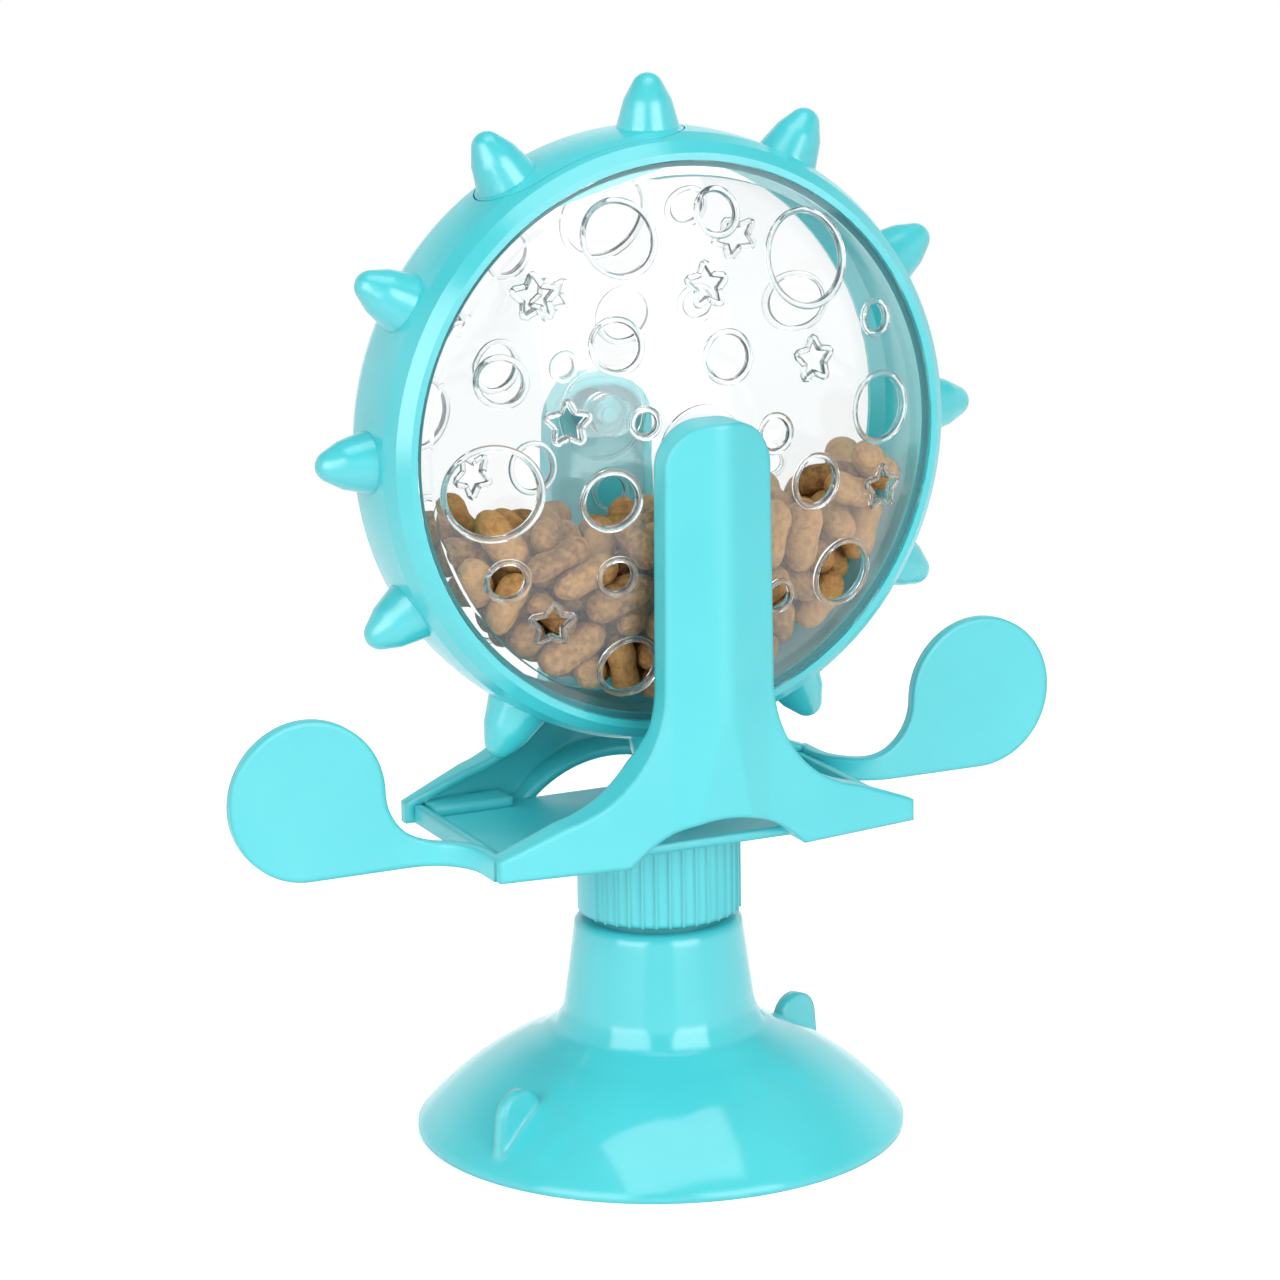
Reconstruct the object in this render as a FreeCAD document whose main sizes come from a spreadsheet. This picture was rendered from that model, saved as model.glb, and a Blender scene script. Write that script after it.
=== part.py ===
import FreeCAD, Part
import math
import os
import Sketcher
from FreeCAD import Placement, Rotation, Vector

# Rotating treat toy: a treat-filled drum with clear holed windows turns between two arms,
# and the arms' tray swivels on the neck of a suction cup.
# Origin at the middle of the suction face, +Z up, the drum's axis along Y. Millimetres, degrees.

SIZES = {
    # clearances
    "seat_gap": 0.1,
    "run_gap": 0.3,
    "bearing_gap": 0.08,
    # suction cup
    "cup_radius": 57.4,
    "cup_lip_height": 1.2,
    "cup_lip_width": 4.5,
    "dome_top_radius": 30.0,
    "dome_top_height": 21.2,
    "dome_neck_radius": 25.0,
    "dome_neck_height": 24.3,
    "neck_foot_radius": 22.6,
    "neck_foot_height": 28.6,
    "neck_top_radius": 19.7,
    "neck_top_height": 50.7,
    "neck_edge": 1.0,
    "cavity_height": 6.0,
    "fin_inner": 41.0,
    "fin_inner_foot": 12.5,
    "fin_outer": 54.6,
    "fin_outer_foot": 3.5,
    "fin_peak_distance": 48.0,
    "fin_peak": 19.5,
    "fin_shoulder": 53.5,
    "fin_shoulder_height": 13.2,
    "fin_thickness": 2.6,
    "fin_angle": 21.0,
    # plunger and its lift pin
    "plate_radius": 15.0,
    "plate_bottom": 3.0,
    "plate_thickness": 3.0,
    "stem_radius": 5.6,
    "lift_travel": 3.0,
    "lift_turn": 120.0,
    "lift_pin_radius": 1.6,
    "lift_pin_rise": 8.2,
    "stem_above_pin": 3.6,
    # neck core
    "core_foot_height": 17.0,
    "core_sleeve_radius": 13.5,
    "core_flange_radius": 16.5,
    "core_flange_thickness": 1.3,
    "spigot_radius": 11.5,
    "swivel_radius": 9.0,
    "core_roof_thickness": 5.0,
    # ring washer and knurled lock ring
    "washer_thickness": 0.7,
    "ring_radius": 18.9,
    "ring_height": 19.9,
    "cam_depth": 3.2,
    "cam_overrun": 15.0,
    "rib_height": 0.6,
    "rib_width": 1.5,
    "rib_pitch_angle": 9.5,
    "rib_count": 33,
    "panel_angle": 168.0,
    # tray
    "tray_gap": 0.6,
    "tray_half_length": 50.8,
    "tray_half_width": 25.0,
    "tray_thickness": 2.2,
    "tray_lip_height": 2.0,
    "tray_lip_thickness": 2.0,
    "hub_radius": 13.0,
    "hub_height": 1.7,
    "arm_screw_reach": 38.0,
    "arm_screw_inset": 3.0,
    "arm_screw_hole": 1.6,
    # swivel screw and washer
    "swivel_washer_radius": 12.0,
    "swivel_washer_thickness": 1.2,
    "swivel_screw_radius": 1.9,
    "swivel_head_radius": 4.2,
    "swivel_head_height": 2.4,
    "swivel_head_edge": 1.2,
    "swivel_screw_length": 8.0,
    # arm screws
    "arm_screw_radius": 1.2,
    "arm_head_radius": 2.9,
    "arm_head_height": 1.7,
    "arm_screw_length": 3.8,
    # arms, each rise measured from the tray's underside
    "under_drum_height": 21.8,
    "arm_wall": 2.2,
    "upright_half_width": 13.0,
    "upright_above_axle": 8.5,
    "upright_top_flat": 2.5,
    "shoulder_below_axle": 3.0,
    "upright_foot_rise": 40.7,
    "flare_mid_half_width": 20.5,
    "flare_mid_rise": 21.2,
    "flare_low_half_width": 37.0,
    "flare_low_rise": 11.2,
    "tip_half_width": 53.0,
    "tip_height": 5.0,
    "arch_half_width": 22.0,
    "arch_height": 9.7,
    "ridge_depth": 38.4,
    "ridge_half_width": 3.0,
    "ridge_drop": 0.5,
    "facet_half_width": 12.0,
    "facet_depth": 34.4,
    "paddle_corner_depth": 30.0,
    "free_corner_depth": 27.5,
    "ridge_fade_rise": 34.7,
    "ridge_foot_depth": 35.6,
    "upright_back": 28.2,
    "step_top_rise": 30.7,
    "step_bottom_rise": 22.7,
    "boss_radius": 4.5,
    "boss_face": 29.0,
    "stub_radius": 2.3,
    "stub_end": 23.5,
    "lug_half_width": 10.0,
    "lug_height": 2.4,
    "lug_reach": 5.5,
    # paddles
    "paddle_distance": 89.8,
    "paddle_radius": 18.5,
    "paddle_thickness": 2.6,
    "paddle_face": 8.7,
    "paddle_bend_radius": 12.5,
    "end_plate_offset": 53.5,
    "end_plate_height": 5.3,
    "end_plate_root": 28.0,
    # drum rim, each rise and inset measured from the windows' edge
    "window_radius": 64.0,
    "lip_half_width": 15.5,
    "lip_rise": 0.3,
    "lip_outer_rise": 1.9,
    "shoulder_half_width": 12.8,
    "shoulder_rise": 4.4,
    "band_half_width": 8.5,
    "crown_rise": 6.4,
    "rim_inner_rise": 1.9,
    "ledge_inset": 1.3,
    "ledge_thickness": 1.2,
    "ledge_slope": 1.8,
    "window_seat": 12.8,
    # spikes
    "spike_step": 30.0,
    "spike_tip_rise": 18.3,
    "spike_root_rise": 4.7,
    "spike_foot_width": 7.2,
    "spike_foot_rise": 6.2,
    "spike_belly_width": 5.4,
    "spike_belly_rise": 12.4,
    "spike_nose": 3.7,
    "spike_nose_angle": 31.0,
    # filling lid
    "lid_angle": 105.0,
    "lid_half_length": 26.0,
    "lid_half_width": 11.0,
    "lid_gap": 0.35,
    "lid_plate": 2.6,
    "lid_wall": 1.7,
    "lid_skirt_inset": 3.4,
    "lid_hollow_angle": 34.0,
    # windows
    "window_flange": 2.1,
    "dome_edge_inset": 3.5,
    "dome_apex": 27.6,
    "dome_wall": 1.8,
    "hub_ring_radius": 10.8,
    "hub_ring_half_width": 0.4,
    "hub_ring_root": 1.2,
    "hub_ring_top": 27.8,
    "hub_boss_radius": 5.0,
    "hub_boss_face": 28.4,
    "hub_boss_end": 21.3,
    "hub_boss_floor": 1.2,
    "star_radius": 4.5,
    "star_waist": 2.4,
    "rear_window_turn": 101.0,
    # treats
    "treat_gap": 0.6,
    "treat_level_left": -13.0,
    "treat_level_right": 1.0,
}

# Treat holes in a window, seen from outside: across, up and radius.
TREAT_HOLES = [
    (-48.0, -6.0, 9.9),
    (-16.0, 48.5, 7.7),
    (30.5, 40.5, 10.0),
    (49.0, 4.5, 7.3),
    (39.5, -33.5, 7.1),
    (-15.0, -49.5, 6.3),
    (-22.0, -9.0, 6.0),
    (30.0, -10.0, 5.4),
    (-19.5, 25.5, 5.3),
    (-45.5, 19.0, 4.8),
    (7.0, 21.0, 5.1),
    (8.5, 52.5, 4.5),
    (-44.5, -26.5, 4.0),
    (-20.0, -27.0, 3.6),
    (18.5, 2.5, 3.6),
    (49.0, 25.0, 3.2),
    (21.5, -36.5, 3.0),
    (-14.0, 8.0, 2.6),
]

# Centres of the star-shaped holes.
STAR_HOLES = [
    (-36.5, 37.0),
    (3.5, 37.0),
    (30.0, 18.0),
    (-31.5, 9.0),
    (-34.0, -37.5),
    (50.0, -14.5),
]
STAR_POINTS = 5


class Size:
    """A number that keeps the sheet formula it comes from."""

    def __init__(self, value, formula):
        self.value = float(value)
        self.formula = formula

    def __add__(self, other):
        other = as_size(other)
        return Size(self.value + other.value, f"({self.formula} + {other.formula})")

    def __sub__(self, other):
        other = as_size(other)
        return Size(self.value - other.value, f"({self.formula} - {other.formula})")

    def __mul__(self, other):
        other = as_size(other)
        return Size(self.value * other.value, f"({self.formula} * {other.formula})")

    def __truediv__(self, other):
        other = as_size(other)
        return Size(self.value / other.value, f"({self.formula} / {other.formula})")

    def __neg__(self):
        return Size(-self.value, f"(-1 * {self.formula})")

    def __radd__(self, other):
        return as_size(other) + self

    def __rsub__(self, other):
        return as_size(other) - self

    def __rmul__(self, other):
        return as_size(other) * self


def as_size(item):
    return item if isinstance(item, Size) else Size(item, f"({item})")


def root(size):
    return Size(math.sqrt(size.value), f"sqrt({size.formula})")


def cosine(angle):
    return Size(math.cos(math.radians(angle.value)), f"cos({angle.formula})")


def sine(angle):
    return Size(math.sin(math.radians(angle.value)), f"sin({angle.formula})")


class Sheet:
    """The spreadsheet's values by name."""

    def __init__(self, doc, sizes):
        cells = doc.addObject("Spreadsheet::Sheet", "Sizes")
        for row, (name, value) in enumerate(sizes.items(), start=1):
            cells.set(f"A{row}", name)
            cells.set(f"B{row}", str(value))
            cells.setAlias(f"B{row}", name)
            setattr(self, name, Size(value, f"Sizes.{name}"))
        doc.recompute()


doc = FreeCAD.newDocument("rotating_treat_toy")
s = Sheet(doc, SIZES)


# Drawing helpers


def bind(item, path, size):
    """Sets a property from the sheet."""
    item.setExpression(path, as_size(size).formula)


def place(item, x=0, y=0, z=0):
    """Moves an object to a place given by sheet sizes."""
    for letter, size in zip("xyz", (x, y, z)):
        if isinstance(size, Size):
            bind(item, f"Placement.Base.{letter}", size)


def pin_point(sketch, edge, vertex, x, y):
    """Holds one point of a sketch edge at x, y."""
    for kind, size in (("DistanceX", as_size(x)), ("DistanceY", as_size(y))):
        number = sketch.addConstraint(Sketcher.Constraint(kind, edge, vertex, size.value))
        sketch.setExpression(f"Constraints[{number}]", size.formula)


def draw_outline(sketch, corners):
    """Closes an outline through the corners. A corner with two more sizes ends an arc through them."""
    flat = [Vector(as_size(c[0]).value, as_size(c[1]).value, 0) for c in corners]
    edges = []
    for number, corner in enumerate(corners):
        start, end = flat[number - 1], flat[number]
        if len(corner) == 2:
            edge = sketch.addGeometry(Part.LineSegment(start, end))
            edges.append((edge, 1, 2))
            continue
        through = Vector(as_size(corner[2]).value, as_size(corner[3]).value, 0)
        edge = sketch.addGeometry(Part.Arc(start, through, end))
        first, last = sketch.getPoint(edge, 1), sketch.getPoint(edge, 2)
        forward = first.distanceToPoint(start) < last.distanceToPoint(start)
        edges.append((edge, 1, 2) if forward else (edge, 2, 1))
    for number, (edge, tail, head) in enumerate(edges):
        after = edges[(number + 1) % len(edges)]
        sketch.addConstraint(Sketcher.Constraint("Coincident", edge, head, after[0], after[1]))
        pin_point(sketch, edge, head, corners[number][0], corners[number][1])
    for (edge, tail, head), corner in zip(edges, corners):
        if len(corner) == 4:
            through = Vector(as_size(corner[2]).value, as_size(corner[3]).value, 0)
            marker = sketch.addGeometry(Part.Point(through), True)
            pin_point(sketch, marker, 1, corner[2], corner[3])
            sketch.addConstraint(Sketcher.Constraint("PointOnObject", marker, 1, edge))


def draw_circle(sketch, x, y, radius):
    x, y, radius = as_size(x), as_size(y), as_size(radius)
    edge = sketch.addGeometry(Part.Circle(Vector(x.value, y.value, 0), Vector(0, 0, 1), radius.value))
    pin_point(sketch, edge, 3, x, y)
    number = sketch.addConstraint(Sketcher.Constraint("Radius", edge, radius.value))
    sketch.setExpression(f"Constraints[{number}]", radius.formula)


def rectangle(left, right, low, high):
    return [(left, low), (right, low), (right, high), (left, high)]


def stadium(half_length, half_width):
    """A slot outline whose ends are half circles."""
    bend = half_length - half_width
    return [
        (-bend, -half_width, -half_length, 0),
        (bend, -half_width),
        (bend, half_width, half_length, 0),
        (-bend, half_width),
    ]


def origin_feature(body, role):
    return next(item for item in body.Origin.OriginFeatures if item.Role == role)


def body_sketch(body, name, role, lift=0, turn=0):
    """A sketch on one of the body's origin planes, lifted off it and turned about its normal."""
    sketch = body.newObject("Sketcher::SketchObject", name)
    sketch.AttachmentSupport = [(origin_feature(body, role), "")]
    sketch.MapMode = "FlatFace"
    if isinstance(lift, Size):
        bind(sketch, "AttachmentOffset.Base.z", lift)
    if isinstance(turn, Size):
        sketch.AttachmentOffset = Placement(Vector(0, 0, 0), Rotation(Vector(0, 0, 1), turn.value))
        bind(sketch, "AttachmentOffset.Rotation.Angle", turn)
    return sketch


def new_body(label):
    body = doc.addObject("PartDesign::Body", label)
    body.Label = label
    return body


def add_pad(body, sketch, name, length, midplane=False, reverse=False):
    pad = body.newObject("PartDesign::Pad", name)
    pad.Profile = sketch
    pad.SideType = "Symmetric" if midplane else "One side"
    pad.Reversed = reverse
    bind(pad, "Length", length)
    return pad


def add_pocket(body, sketch, name, midplane=True, reverse=False):
    """Cuts a sketch right through, to both sides unless told otherwise."""
    pocket = body.newObject("PartDesign::Pocket", name)
    pocket.Profile = sketch
    pocket.Type = "ThroughAll"
    pocket.SideType = "Symmetric" if midplane else "One side"
    pocket.Reversed = reverse
    return pocket


def add_turned(body, sketch, name, axis, kind="Revolution", angle=360, midplane=False):
    """Adds or cuts a sketch turned about one of its own axes."""
    turned = body.newObject(f"PartDesign::{kind}", name)
    turned.Profile = sketch
    turned.ReferenceAxis = (sketch, [axis])
    turned.Midplane = midplane
    if isinstance(angle, Size):
        bind(turned, "Angle", angle)
    else:
        turned.Angle = angle
    return turned


def add_polar(body, originals, name, role, count, angle):
    """Repeats features about one of the body's axes over an angle, ends included."""
    pattern = body.newObject("PartDesign::PolarPattern", name)
    pattern.Originals = originals
    pattern.Axis = (origin_feature(body, role), [""])
    pattern.Occurrences = count
    if isinstance(angle, Size):
        bind(pattern, "Angle", angle)
    else:
        pattern.Angle = angle
    body.Tip = pattern
    return pattern


def turned_body(label, corners):
    """A body turned about the vertical axis from one outline of radius and height."""
    body = new_body(label)
    sketch = body_sketch(body, f"{label}_outline", "XZ_Plane")
    draw_outline(sketch, corners)
    add_turned(body, sketch, f"{label}_turned", "V_Axis")
    return body


def free_sketch(name, corners, axis=None, angle=0):
    """A sketch that stands by itself, turned up from the XY plane about an axis."""
    sketch = doc.addObject("Sketcher::SketchObject", name)
    if axis is not None:
        sketch.Placement = Placement(Vector(0, 0, 0), Rotation(axis, angle))
    draw_outline(sketch, corners)
    return sketch


def extrude(name, base, direction, start, length):
    """A solid pushed along an axis from a start distance."""
    solid = doc.addObject("Part::Extrusion", name)
    solid.Base = base
    solid.DirMode = "Custom"
    solid.Dir = direction
    solid.Solid = True
    bind(solid, "LengthFwd", length)
    letter = "xyz"[[abs(c) for c in direction].index(1)]
    sign = sum(direction)
    bind(solid, f"Placement.Base.{letter}", as_size(start) * sign)
    return solid


def combine(kind, name, shapes):
    result = doc.addObject(f"Part::{kind}", name)
    result.Shapes = shapes
    return result


def cut(name, base, tool):
    result = doc.addObject("Part::Cut", name)
    result.Base = base
    result.Tool = tool
    return result


def cylinder(name, radius, height, x=0, y=0, z=0, along="z"):
    """A cylinder that starts at a point and runs along +Z, +X or +Y."""
    rod = doc.addObject("Part::Cylinder", name)
    bind(rod, "Radius", radius)
    bind(rod, "Height", height)
    if along == "y":
        rod.Placement = Placement(Vector(0, 0, 0), Rotation(Vector(1, 0, 0), -90))
    if along == "x":
        rod.Placement = Placement(Vector(0, 0, 0), Rotation(Vector(0, 1, 0), 90))
    place(rod, as_size(x), as_size(y), as_size(z))
    return rod


# Heights shared by the stack of pieces on the neck

core_flange_top = s.neck_top_height + s.core_flange_thickness
ring_bottom = core_flange_top + s.washer_thickness + s.seat_gap
lift_pin_height = ring_bottom + s.lift_pin_rise
ring_top = ring_bottom + s.ring_height
tray_bottom = ring_top + s.tray_gap
tray_top = tray_bottom + s.tray_thickness
crown_radius = s.window_radius + s.crown_rise
axle_height = tray_bottom + s.under_drum_height + crown_radius
upright_top = axle_height + s.upright_above_axle
hub_top = tray_top + s.hub_height
swivel_top = hub_top + s.seat_gap * 2
swivel_washer_top = swivel_top + s.swivel_washer_thickness
core_bore_radius = s.stem_radius + s.run_gap + s.seat_gap
core_bore_top = swivel_top - s.core_roof_thickness - s.hub_height - s.tray_thickness
pin_slot_half_width = s.lift_pin_radius + s.run_gap
cam_half_height = s.lift_pin_radius + s.run_gap + s.seat_gap


# Radii shared by the drum's pieces

lip_radius = s.window_radius + s.lip_rise
shoulder_radius = s.window_radius + s.shoulder_rise
spike_tip_radius = s.window_radius + s.spike_tip_rise
lid_skirt_bottom = s.window_radius - s.lid_skirt_inset
dome_edge_radius = s.window_radius - s.dome_edge_inset


# Base


def cup_dome_height(radius):
    """Height of the cup's dome, a part of a sphere through its lip and its top."""
    rise = s.dome_top_height - s.cup_lip_height
    span = s.cup_radius * s.cup_radius - s.dome_top_radius * s.dome_top_radius
    below = (span - rise * rise) / (rise * 2)
    sphere = root(s.cup_radius * s.cup_radius + below * below)
    return s.cup_lip_height - below + root(sphere * sphere - radius * radius)


def make_suction_cup():
    """Soft cup and neck in one moulding, with two release fins near its edge."""
    lip_inner = s.cup_radius - s.cup_lip_width
    recess_radius = s.plate_radius + s.run_gap + s.seat_gap
    recess_top = s.plate_bottom + s.plate_thickness + s.lift_travel + s.run_gap + s.seat_gap
    neck_bore = s.core_sleeve_radius + s.seat_gap
    dome_mid = (s.cup_radius + s.dome_top_radius) / 2
    corners = [
        (lip_inner, 0),
        (s.cup_radius, 0),
        (s.cup_radius, s.cup_lip_height),
        (s.dome_top_radius, s.dome_top_height, dome_mid, cup_dome_height(dome_mid)),
        (s.dome_neck_radius, s.dome_neck_height),
        (s.neck_foot_radius, s.neck_foot_height),
        (s.neck_top_radius, s.neck_top_height - s.neck_edge),
        (s.neck_top_radius - s.neck_edge, s.neck_top_height),
        (neck_bore, s.neck_top_height),
        (neck_bore, s.core_foot_height),
        (core_bore_radius, s.core_foot_height),
        (core_bore_radius, recess_top),
        (recess_radius, recess_top),
        (recess_radius, s.cavity_height),
    ]
    cup = turned_body("suction_cup", corners)
    fin = body_sketch(cup, "fin_outline", "XZ_Plane")
    draw_outline(fin, [
        (s.fin_inner, s.fin_inner_foot),
        (s.fin_shoulder, s.fin_shoulder_height, s.fin_peak_distance, s.fin_peak),
        (s.fin_outer, s.fin_outer_foot),
    ])
    pad = add_pad(cup, fin, "fin", s.fin_thickness, midplane=True)
    add_polar(cup, [pad], "fins", "Z_Axis", 2, 180)
    cup.Placement = Placement(Vector(0, 0, 0), Rotation(Vector(0, 0, 1), s.fin_angle.value))
    bind(cup, "Placement.Rotation.Angle", s.fin_angle)
    return cup


def make_neck_core():
    """Stiff sleeve in the neck: carries the lock ring, guides the plunger and ends in the swivel spigot."""
    corners = [
        (core_bore_radius, s.core_foot_height),
        (s.core_sleeve_radius, s.core_foot_height),
        (s.core_sleeve_radius, s.neck_top_height),
        (s.core_flange_radius, s.neck_top_height),
        (s.core_flange_radius, core_flange_top),
        (s.spigot_radius, core_flange_top),
        (s.spigot_radius, tray_bottom - s.seat_gap),
        (s.swivel_radius, tray_bottom - s.seat_gap),
        (s.swivel_radius, swivel_top),
        (s.swivel_screw_radius + s.seat_gap / 2, swivel_top),
        (s.swivel_screw_radius + s.seat_gap / 2, core_bore_top),
        (core_bore_radius, core_bore_top),
    ]
    core = turned_body("neck_core", corners)
    slot = body_sketch(core, "pin_slot", "YZ_Plane")
    low = lift_pin_height - pin_slot_half_width
    high = lift_pin_height + s.lift_travel + pin_slot_half_width
    draw_outline(slot, rectangle(-pin_slot_half_width, pin_slot_half_width, low, high))
    add_pocket(core, slot, "pin_slots")
    return core


def make_cup_plunger():
    """Plate that draws the middle of the cup up, with its stem and cross hole."""
    plate_top = s.plate_bottom + s.plate_thickness
    stem_top = lift_pin_height + s.stem_above_pin
    plunger = turned_body("cup_plunger", [
        (0, s.plate_bottom),
        (s.plate_radius, s.plate_bottom),
        (s.plate_radius, plate_top),
        (s.stem_radius, plate_top),
        (s.stem_radius, stem_top),
        (0, stem_top),
    ])
    hole = body_sketch(plunger, "cross_hole", "YZ_Plane")
    draw_circle(hole, 0, lift_pin_height, s.lift_pin_radius + s.seat_gap / 2)
    add_pocket(plunger, hole, "cross_hole_cut")
    return plunger


def make_lift_pin():
    """Steel cross pin through the plunger's stem; its ends ride in the ring's cams."""
    half_length = s.spigot_radius + s.cam_depth
    pin = new_body("lift_pin")
    sketch = body_sketch(pin, "pin_circle", "YZ_Plane")
    draw_circle(sketch, 0, lift_pin_height, s.lift_pin_radius)
    add_pad(pin, sketch, "pin_rod", half_length * 2, midplane=True)
    return pin


def make_ring_washer():
    return turned_body("ring_washer", [
        (s.spigot_radius + s.seat_gap, core_flange_top),
        (s.core_flange_radius - s.seat_gap, core_flange_top),
        (s.core_flange_radius - s.seat_gap, core_flange_top + s.washer_thickness),
        (s.spigot_radius + s.seat_gap, core_flange_top + s.washer_thickness),
    ])


def make_lock_ring():
    """Knurled ring whose two inner cams lift the cross pin as the ring turns."""
    bore = s.spigot_radius + s.run_gap
    ring = turned_body("lock_ring", [
        (bore, ring_bottom),
        (s.ring_radius, ring_bottom),
        (s.ring_radius, ring_top),
        (bore, ring_top),
    ])
    cam = body_sketch(ring, "cam_outline", "XZ_Plane")
    cam_outer = s.spigot_radius + s.cam_depth + s.run_gap * 2
    cam_start = lift_pin_height - s.lift_travel * (s.cam_overrun / s.lift_turn)
    draw_outline(cam, rectangle(
        bore - s.run_gap, cam_outer, cam_start - cam_half_height, cam_start + cam_half_height))
    groove = ring.newObject("PartDesign::SubtractiveHelix", "cam")
    groove.Profile = cam
    groove.ReferenceAxis = (cam, ["V_Axis"])
    groove.Mode = "pitch-height-angle"
    groove.LeftHanded = True
    bind(groove, "Pitch", s.lift_travel * 360 / s.lift_turn)
    bind(groove, "Height", s.lift_travel * (s.lift_turn + s.cam_overrun * 2) / s.lift_turn)
    add_polar(ring, [groove], "cams", "Z_Axis", 2, 180)
    first_rib = s.panel_angle - s.cam_overrun + (360 - s.rib_pitch_angle * (s.rib_count - 1)) / 2
    rib = body_sketch(ring, "rib_outline", "XY_Plane", lift=ring_bottom, turn=first_rib)
    root_radius = s.ring_radius - s.rib_height
    crest = s.ring_radius + s.rib_height
    draw_outline(rib, [
        (root_radius, -s.rib_width / 2),
        (crest, -s.rib_width / 6),
        (crest, s.rib_width / 6),
        (root_radius, s.rib_width / 2),
    ])
    pad = add_pad(ring, rib, "rib", s.ring_height)
    add_polar(ring, [pad], "ribs", "Z_Axis", int(s.rib_count.value), s.rib_pitch_angle * (s.rib_count - 1))
    ring.Placement = Placement(Vector(0, 0, 0), Rotation(Vector(0, 0, 1), s.cam_overrun.value))
    bind(ring, "Placement.Rotation.Angle", s.cam_overrun)
    return ring


# Yoke


def make_tray():
    """Treat channel under the drum: a floor with end lips and a swivel hub."""
    tray = new_body("tray")
    floor = body_sketch(tray, "floor_outline", "XY_Plane", lift=tray_bottom)
    draw_outline(floor, rectangle(
        -s.tray_half_length, s.tray_half_length, -s.tray_half_width, s.tray_half_width))
    add_pad(tray, floor, "floor", s.tray_thickness)
    lips = body_sketch(tray, "lip_outline", "XY_Plane", lift=tray_top)
    lip_start = s.tray_half_length - s.tray_lip_thickness
    draw_outline(lips, rectangle(
        lip_start, s.tray_half_length, -s.tray_half_width, s.tray_half_width))
    lip = add_pad(tray, lips, "lip", s.tray_lip_height)
    add_polar(tray, [lip], "end_lips", "Z_Axis", 2, 180)
    hub = body_sketch(tray, "hub_outline", "XY_Plane", lift=tray_top)
    draw_circle(hub, 0, 0, s.hub_radius)
    add_pad(tray, hub, "hub", s.hub_height)
    holes = body_sketch(tray, "hole_outline", "XY_Plane")
    draw_circle(holes, 0, 0, s.swivel_radius + s.bearing_gap)
    for x, y in arm_screw_places():
        draw_circle(holes, x, y, s.arm_screw_hole)
    add_pocket(tray, holes, "holes")
    return tray


def arm_screw_places():
    across = s.arm_screw_reach
    along = s.tray_half_width - s.arm_screw_inset
    return [(across, -along), (-across, -along), (across, along), (-across, along)]


def arm_front_outline():
    """Upright, flared foot and arch, seen from the front."""
    bottom = tray_bottom
    tip_top = bottom + s.tip_height
    round_x = s.upright_top_flat + (s.upright_half_width - s.upright_top_flat) * 0.72
    shoulder = axle_height - s.shoulder_below_axle
    round_z = shoulder + (upright_top - shoulder) * 0.7
    half = s.upright_half_width
    foot = bottom + s.upright_foot_rise
    flare_low = bottom + s.flare_low_rise
    flare_mid = bottom + s.flare_mid_rise
    return [
        (s.arch_half_width, bottom, 0, bottom + s.arch_height),
        (s.tip_half_width, bottom),
        (s.tip_half_width, tip_top),
        (s.flare_low_half_width, flare_low),
        (half + 0.5, foot, s.flare_mid_half_width, flare_mid),
        (half, shoulder),
        (s.upright_top_flat, upright_top, round_x, round_z),
        (-s.upright_top_flat, upright_top),
        (-half, shoulder, -round_x, round_z),
        (-half - 0.5, foot),
        (-s.flare_low_half_width, flare_low, -s.flare_mid_half_width, flare_mid),
        (-s.tip_half_width, tip_top),
        (-s.tip_half_width, bottom),
        (-s.arch_half_width, bottom),
    ]


def arm_plan_outline():
    """The arm's ridged outer face, seen from above."""
    side = s.tip_half_width + 1
    back = s.lug_reach - s.tray_half_width
    return [
        (side, -s.free_corner_depth),
        (side, back),
        (-side, back),
        (-side, -s.paddle_corner_depth),
        (-s.facet_half_width, -s.facet_depth),
        (-s.ridge_half_width, s.ridge_drop - s.ridge_depth),
        (s.ridge_half_width, s.ridge_drop - s.ridge_depth, 0, -s.ridge_depth),
        (s.facet_half_width, -s.facet_depth),
    ]


def arm_side_outline():
    """How deep the arm is at each height: stepped back, ridge fading out at the foot."""
    flare_back = s.tray_half_width + s.seat_gap / 2
    top = upright_top + 1
    front = s.ridge_depth + 0.2
    return [
        (-flare_back, tray_bottom - 1),
        (-flare_back, tray_bottom + s.step_bottom_rise),
        (-s.upright_back, tray_bottom + s.step_top_rise),
        (-s.upright_back, top),
        (-front, top),
        (-front, tray_bottom + s.ridge_fade_rise),
        (-s.ridge_foot_depth, tray_bottom - 1),
    ]


def paddle_plan_outline():
    """The strip that runs along the tray's end and bends out into the paddle's plane."""
    outer = s.end_plate_offset
    inner = outer - s.paddle_thickness
    bend_x = outer + s.paddle_bend_radius
    bend_y = s.paddle_face + s.paddle_bend_radius
    far = s.paddle_distance + s.paddle_radius + 1
    slant = math.sqrt(0.5)
    big = s.paddle_bend_radius + s.paddle_thickness
    return [
        (-inner, -s.end_plate_root),
        (-outer, -s.end_plate_root),
        (-outer, -bend_y),
        (-bend_x, -s.paddle_face,
         -bend_x + s.paddle_bend_radius * slant, -bend_y + s.paddle_bend_radius * slant),
        (-far, -s.paddle_face),
        (-far, s.paddle_thickness - s.paddle_face),
        (-bend_x, s.paddle_thickness - s.paddle_face),
        (-inner, -bend_y, -bend_x + big * slant, -bend_y + big * slant),
    ]


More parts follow.
